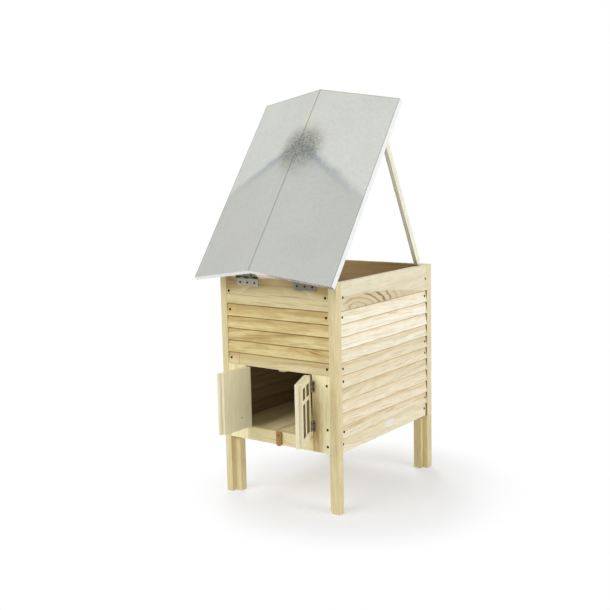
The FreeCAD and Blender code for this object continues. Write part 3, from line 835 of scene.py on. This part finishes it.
class HIVE_OT_floor(bpy.types.Operator):
    """Eases and colours the floor boards, their bearers and the door stop"""

    bl_idname = "hive.floor"
    bl_label = "Floor"

    def execute(self, context):
        wood = context.scene.hive_timber
        low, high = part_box("floor_boards")
        planks = timber("floor boards", wood.inside, "YXZ", 41, course=(high.x - low.x) / 4,
                        start=low.x, figure=0.4, marks=floor_shade)
        bearers = timber("bearers", wood.inside, "XYZ", 43, **WHOLE)
        stop = timber("door stop", wood.inside, "ZXY", 45, **WHOLE)
        for node, material in (("floor_boards", planks), ("floor_bearers", bearers),
                               ("door_stop", stop)):
            eased(node, material, wood.ease)
        return {"FINISHED"}


class HIVE_OT_doors(bpy.types.Operator):
    """Eases and colours the two doors and the window's bars"""

    bl_idname = "hive.doors"
    bl_label = "Doors"

    def execute(self, context):
        wood = context.scene.hive_timber
        whole = {"course": 0.3, "start": -0.15}
        left = timber("left door", wood.door, "ZXY", 51, pivot=pin_of("left_door_hinge"),
                      turn=(0, 0, -turn_back("left_door_hinge")), figure=0.06, grain=0.14,
                      streaks=0.0, marks=pin_knot, **whole)
        right = timber("right door", wood.door, "ZXY", 53, pivot=RIGHT_DOOR_PIN,
                       turn=(0, 0, RIGHT_TURN), figure=0.15, grain=0.2, streaks=0.1,
                       marks=shaded_reveals, **whole)
        eased("left_door", left, wood.ease)
        eased("right_door", right, wood.ease)
        bars = eased("right_door_muntins", right, wood.ease)
        across = Matrix.Rotation(RIGHT_TURN, 3, "Z") @ Vector((0, 1, 0))
        depths = [across.dot(vertex.co) for vertex in bars.data.vertices]
        middle = (max(depths) + min(depths)) / 2
        for vertex, depth in zip(bars.data.vertices, depths):
            vertex.co += across * math.copysign(MUNTIN_RAISE, depth - middle)
        return {"FINISHED"}


class HIVE_OT_button(bpy.types.Operator):
    """Eases and colours the turn button"""

    bl_idname = "hive.button"
    bl_label = "Turn button"

    def execute(self, context):
        wood = context.scene.hive_timber
        brown = timber("turn button", wood.button, "ZXY", 61, figure=0.5, streaks=0.2, **WHOLE)
        eased("turn_button", brown, wood.ease, shortest=0.0004)
        return {"FINISHED"}


class HIVE_OT_roof_frame(bpy.types.Operator):
    """Eases and colours the roof's gable and side boards, and the prop"""

    bl_idname = "hive.roof_frame"
    bl_label = "Roof timber"

    def execute(self, context):
        wood = context.scene.hive_timber
        roof = {"pivot": ROOF_PIN, "turn": (ROOF_TILT, 0, 0), **WIDE}
        gables = timber("gable boards", wood.roof, "XZY", 71, **roof)
        sides = timber("roof side boards", wood.roof, "YZX", 73, **roof)
        stick = timber("prop", wood.prop, "YZX", 75, pivot=pin_of("prop_pivot"),
                       turn=(ROOF_TILT + turn_back("prop_pivot"), 0, 0), figure=0.2,
                       streaks=0.1, **WIDE)
        for node, material in (("roof_gable_front", gables), ("roof_gable_back", gables),
                               ("roof_side_left", sides), ("roof_side_right", sides),
                               ("prop", stick)):
            eased(node, material, wood.ease)
        return {"FINISHED"}


class HIVE_OT_roof_sheet(bpy.types.Operator):
    """Colours the zinc sheet, with its stains and its pale folded edges"""

    bl_idname = "hive.roof_sheet"
    bl_label = "Roof sheet"

    def execute(self, context):
        metal = context.scene.hive_metal
        material, tree, shader = blank_material("zinc sheet")
        place = placed_coordinates(tree, ROOF_PIN, (ROOF_TILT, 0, 0))
        zinc = zinc_group(tree, place, metal.sheet, 0.16, 0.07)
        base = zinc.outputs["Color"]
        x, y, _ = parts(place)
        side = distance(x)
        top = self.weathered(metal, place, (x, y, side), base)
        top = self.creased(metal, (x, y, side), top)
        outward = Matrix.Rotation(ROOF_TILT, 3, "X") @ Vector((0, 0, 1))
        shown = blend_colours(above(facing(place.id_data, outward), 0.0), base, top)
        shown = self.folded(metal, place, (x, y, side), shown)
        dress_shader(shader, zinc, shown, (0.1, 0.0002), specular=0.35, metallic=0.15)
        dress("roof_sheet", material)
        return {"FINISHED"}

    def weathered(self, metal, place, axes, base):
        """Dull patch under the ridge's top, two runs down from it, and paler zinc above."""
        x, y, side = axes
        jitter = noise(place, 26.0, 5.0, 0.65)
        grit = ramp(noise(place, 175.0, 3.0, 0.7), 0.40, 0.62)
        run = minus(y, scaled(side, -RUN_SLOPE, RUN_TOP))
        run = swing(jitter, 0.04, run)
        upper = ramp(run, -0.01, 0.03)
        tone = blend_colours(upper, base, tint(base, SHEET_UPPER))
        edge = times(bell(run, RUN_WIDTH), ramp(side, 0.27, 0.03), scaled(grit, 0.50, 0.58))
        tone = blend_colours(edge, tone, rgba(metal.run))
        # painted light: the left slope a little lighter below the runs
        left = times(below(x, 0.0), minus(1.0, upper))
        tone = tint(tone, SHEET_LEFT_LIGHT, left)

        up = minus(y, PATCH_CENTRE[1])
        reach = scaled(ramp(up, 0.01, -0.01), PATCH_SAG, PATCH_REACH)
        across = sums("DIVIDE", minus(x, PATCH_CENTRE[0]), PATCH_REACH)
        patch = slanted(across, sums("DIVIDE", up, reach))
        patch = ramp(swing(jitter, 0.75, patch), 1.32, 0.35)
        patch = times(patch, scaled(grit, 0.42, 0.46))
        tone = blend_colours(patch, tone, rgba(metal.stain))

        crust = times(bell(x, CRUST_SIZE[0], CRUST_CENTRE[0]),
                      bell(y, CRUST_SIZE[1], CRUST_CENTRE[1]), 0.38)
        return blend_colours(crust, tone, CRUST)

    def creased(self, metal, axes, tone):
        """Dark lines along the ridge and just inside the folded edges."""
        _, y, side = axes
        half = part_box("roof_sheet")[1].x
        crease = times(ramp(side, 0.0026, 0.0006), 0.6)
        tone = blend_colours(crease, tone, rgba(metal.stain))
        rim = larger(ramp(side, half - 0.0042, half - 0.0022),
                     ramp(y, FAR_EDGE - 0.0036, FAR_EDGE - 0.0012))
        return blend_colours(times(rim, 0.35), tone, rgba(metal.stain))

    def folded(self, metal, place, axes, tone):
        """Folded edges painted pale as painted light, the lower one with painted shade in its right half."""
        x, y, side = axes
        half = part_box("roof_sheet")[1].x
        # the folds painted pale, as painted light
        hem = larger(ramp(side, half - 0.0009, half - 0.0003),
                     ramp(y, END_EDGE + 0.0006, END_EDGE + 0.0002))
        spots = ramp(noise(place, 55.0, 3.0), 0.40, 0.62)
        # painted shade on the lower fold's right half, broken up by spots
        hem_shade = times(ramp(x, 0.02, 0.09), below(y, END_EDGE + 0.001), scaled(spots, 0.35, 0.55))
        edge = blend_colours(hem_shade, rgba(metal.hem), EDGE_SHADE)
        return blend_colours(hem, tone, edge)


class HIVE_OT_hardware(bpy.types.Operator):
    """Colours the hinges and gives the screws heads with cross recesses"""

    bl_idname = "hive.hardware"
    bl_label = "Hinges and screws"

    def execute(self, context):
        metal = context.scene.hive_metal
        steel = plated("plated steel", metal.hinge, 1.0, shade_above=ROOF_PIN.z - 0.0032)
        # the lid leaves: the hinges' colour halved, as painted shade under the roof
        shaded = plated("shaded steel", [0.5 * part for part in metal.hinge], 1.2)
        bronze = plated("darkened steel", metal.door_hinge, 1.5)
        black = plated("dark screws", metal.screw, 2.0, metallic=0.0, specular=0.02)
        brown = plated("brown screw", metal.button_screw, 2.5, metallic=0.0)
        for node in sorted(NODES):
            if node == "turn_button_screw":
                self.cross_heads(node, brown, 1.0)
            elif node.endswith(("screws", "_screw")):
                self.cross_heads(node, black,
                                 WALL_SCREW_WIDEN if node == "wall_screws" else SCREW_WIDEN)
            elif "door_hinge" in node:
                dress(node, bronze)
            elif "roof_hinge" in node:
                dress(node, shaded if "lid" in node else steel)
        return {"FINISHED"}

    def cross_heads(self, node, material, widen):
        """A copy of the screws of a node, each with a low domed head and a cross recess."""
        shape = merged_copy(node)
        islands = {}
        for face in shape.faces:
            if len(face.verts) >= ROUND_END:
                islands.setdefault(self.island(face), []).append(face)
        for faces in islands.values():
            self.dome(shape, max(faces, key=lambda face: face.calc_area()), widen)
        return finish_piece(node + ".heads", as_mesh(shape, node + ".heads"), material, node=node)

    def island(self, face):
        """The lowest vertex number of the solid that a face belongs to."""
        seen, waiting = {face}, [face]
        while waiting:
            for edge in waiting.pop().edges:
                for other in edge.link_faces:
                    if other not in seen:
                        seen.add(other)
                        waiting.append(other)
        return min(vertex.index for item in seen for vertex in item.verts)

    def dome(self, shape, cap, widen):
        """Puts a domed head with a cross recess in place of a screw's flat end."""
        normal, middle = cap.normal.copy(), cap.calc_center_median()
        radius = max((vertex.co - middle).length for vertex in cap.verts)
        level = Vector((0, 0, 1)).cross(normal)
        level = (level if level.length > 0.1 else Vector((1, 0, 0))).normalized()
        upright = normal.cross(level)
        bmesh.ops.delete(shape, geom=[cap], context="FACES_ONLY")
        outlines = []
        for reach, height in HEAD_PROFILE:
            reach = reach if height == 0 else reach * widen
            turns = [math.tau * step / HEAD_STEPS for step in range(HEAD_STEPS)]
            outlines.append(([(reach * math.cos(turn), reach * math.sin(turn))
                              for turn in turns], height))
        outlines += [(self.cross_outline(), HEAD_PROFILE[-1][1]),
                     (self.cross_outline(), -RECESS_DEPTH)]
        rings = [[shape.verts.new(middle + radius * (x * level + y * upright + height * normal))
                  for x, y in points] for points, height in outlines]
        for inner, outer in zip(rings[1:], rings):
            for step in range(HEAD_STEPS):
                after = (step + 1) % HEAD_STEPS
                shape.faces.new((outer[step], outer[after], inner[after], inner[step]))
        shape.faces.new(rings[-1])
        bmesh.ops.recalc_face_normals(shape, faces=shape.faces)

    def cross_outline(self):
        """Points around a cross, in step with a ring that starts on an arm's middle."""
        wide, long = ARM_WIDTH, ARM_LENGTH
        half = (long + wide) / 2
        arm = [(long, 0.0), (long, wide), (half, wide), (wide, wide), (wide, half), (wide, long)]
        points = []
        for _ in range(4):
            points += arm
            arm = [(-y, x) for x, y in arm]
        return points


class HIVE_OT_label(bpy.types.Operator):
    """Makes the blank sticker on the right bottom rail"""

    bl_idname = "hive.label"
    bl_label = "Sticker"

    def execute(self, context):
        label = context.scene.hive_label
        middle = Vector((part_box("bottom_rail_right")[1].x + LABEL_THICKNESS / 2,
                         BODY_MIDDLE.y + label.offset,
                         COURSE_START - label.height / 2 - LABEL_DROP))
        size = Vector((LABEL_THICKNESS, label.width, label.height))
        shape = bmesh.new()
        bmesh.ops.create_cube(shape, size=1.0, matrix=Matrix.Translation(middle)
                              @ Matrix.Diagonal(size).to_4x4())
        corners = [edge for edge in shape.edges
                   if abs(edge.verts[0].co.x - edge.verts[1].co.x) > LABEL_THICKNESS / 2]
        bmesh.ops.bevel(shape, geom=corners, offset=LABEL_CORNER, segments=6, profile=0.5,
                        affect="EDGES")
        material, tree, shader = blank_material("sticker")
        soft = noise(placed_coordinates(tree), 90.0, 2.0)
        dim = [0.94 * channel for channel in label.paper]
        plug(shader.inputs["Base Color"], blend_colours(soft, rgba(dim), rgba(label.paper)))
        shader.inputs["Roughness"].default_value = 0.45
        finish_piece("sticker", as_mesh(shape, "sticker"), material, body="hive")
        return {"FINISHED"}


class HIVE_OT_studio(bpy.types.Operator):
    """Makes the floor, the lights and the camera"""

    bl_idname = "hive.studio"
    bl_label = "Studio"

    def execute(self, context):
        studio = context.scene.hive_studio
        self.make_floor(studio)
        self.make_world(context, studio)
        self.make_lights(studio)
        self.make_camera(context, studio)
        context.scene.view_settings.view_transform = "Standard"
        return {"FINISHED"}

    def make_floor(self, studio):
        """A wide pale floor that turns to the background's white away from the hive."""
        shape = bmesh.new()
        bmesh.ops.create_grid(shape, x_segments=2, y_segments=2, size=9.0)
        material, tree, shader = blank_material("studio floor")
        plug(shader.inputs["Base Color"], rgba(studio.floor))
        shader.inputs["Roughness"].default_value = 0.9
        shader.inputs["Specular IOR Level"].default_value = 0.0
        away = add(tree, "ShaderNodeVectorMath", {"operation": "DISTANCE"},
                   i0=own(tree, "Object"), i1=SHADOW_MIDDLE).outputs["Value"]
        ray = tree.nodes.new("ShaderNodeLightPath").outputs
        seen = larger(ray["Is Camera Ray"], ray["Is Glossy Ray"])
        white = add(tree, "ShaderNodeEmission", Color=WHITE, Strength=1.0)
        lift = scaled(ramp(away, *SHADOW_REACH), 1.0 - studio.lift, studio.lift)
        lift = scaled(seen, minus(lift, studio.glow), studio.glow)
        mix = add(tree, "ShaderNodeMixShader", i0=lift, i1=shader.outputs[0],
                  i2=white.outputs[0])
        plug(tree.nodes["Material Output"].inputs["Surface"], mix.outputs[0])
        floor = linked("studio_floor", dressed_mesh(as_mesh(shape, "studio_floor"), material))

    def make_world(self, context, studio):
        """Even light on the hive, and a white background."""
        world = bpy.data.worlds.new("studio")
        world.use_nodes = True
        tree = world.node_tree
        shade = tree.nodes["Background"]
        ray = tree.nodes.new("ShaderNodeLightPath").outputs
        seen = larger(ray["Is Camera Ray"], ray["Is Glossy Ray"], ray["Is Transmission Ray"])
        plug(shade.inputs["Color"], WHITE)
        plug(shade.inputs["Strength"], scaled(seen, 1.0 - studio.sky, studio.sky))
        context.scene.world = world

    def make_lights(self, studio):
        """Three round lamps; each has a name, a place, a width and a power."""
        target = Vector((0, 0, 0.5))
        for name, place, size, power in (
                ("key", Vector((2.8, 0.1, 1.5)), 1.8, studio.key),
                ("fill", Vector((-1.0, -2.9, 2.6)), 3.4, studio.key * 2.2),
                ("back", Vector((-1.8, 2.2, 2.8)), 1.6, studio.key * 1.6)):
            lamp = bpy.data.lights.new(name, "AREA")
            lamp.shape = "DISK"
            lamp.size = size
            lamp.energy = power
            turn = (target - place).to_track_quat("-Z", "Y").to_matrix().to_4x4()
            linked(name, lamp).matrix_world = Matrix.Translation(place) @ turn

    def make_camera(self, context, studio):
        """The camera, rolled a little about its line of sight."""
        lens = bpy.data.cameras.new("camera")
        lens.sensor_width = 36.0
        lens.lens = studio.lens
        camera = linked("camera", lens)
        forward = (CAMERA_AIM - CAMERA_PLACE).normalized()
        right = forward.cross(Vector((0, 0, 1))).normalized()
        up = right.cross(forward)
        cosine, sine = math.cos(studio.roll), math.sin(studio.roll)
        turn = Matrix((cosine * right + sine * up, cosine * up - sine * right, -forward))
        foot = Vector((0, BODY_MIDDLE.y, 0))
        camera.matrix_world = (Matrix.Translation(foot + CAMERA_PLACE)
                               @ turn.transposed().to_4x4())
        context.scene.camera = camera


class HIVE_PT_panel(bpy.types.Panel):
    """Settings and steps of the hive"""

    bl_idname = "HIVE_PT_panel"
    bl_label = "Hive"
    bl_space_type = "VIEW_3D"
    bl_region_type = "UI"
    bl_category = "Hive"

    def draw(self, context):
        for holder in SETTINGS:
            settings = getattr(context.scene, holder)
            for name in settings.bl_rna.properties.keys():
                if name not in ("rna_type", "name"):
                    self.layout.prop(settings, name)
        for operator in OPERATORS:
            self.layout.operator(operator.bl_idname)


SETTINGS = {"hive_timber": HIVE_PG_timber, "hive_metal": HIVE_PG_metal,
            "hive_label": HIVE_PG_label, "hive_studio": HIVE_PG_studio}
OPERATORS = (HIVE_OT_studio, HIVE_OT_walls, HIVE_OT_posts, HIVE_OT_floor, HIVE_OT_doors,
             HIVE_OT_button, HIVE_OT_roof_frame, HIVE_OT_roof_sheet, HIVE_OT_hardware,
             HIVE_OT_label)


def register():
    for item in (*SETTINGS.values(), *OPERATORS, HIVE_PT_panel):
        bpy.utils.register_class(item)
    for holder, group in SETTINGS.items():
        setattr(bpy.types.Scene, holder, PointerProperty(type=group))


def unregister():
    for holder in SETTINGS:
        delattr(bpy.types.Scene, holder)
    for item in reversed((*SETTINGS.values(), *OPERATORS, HIVE_PT_panel)):
        bpy.utils.unregister_class(item)


def main():
    register()
    for operator in OPERATORS:
        step = operator.bl_idname.split(".")[1]
        getattr(bpy.ops.hive, step)()


if __name__ == "__main__":
    main()
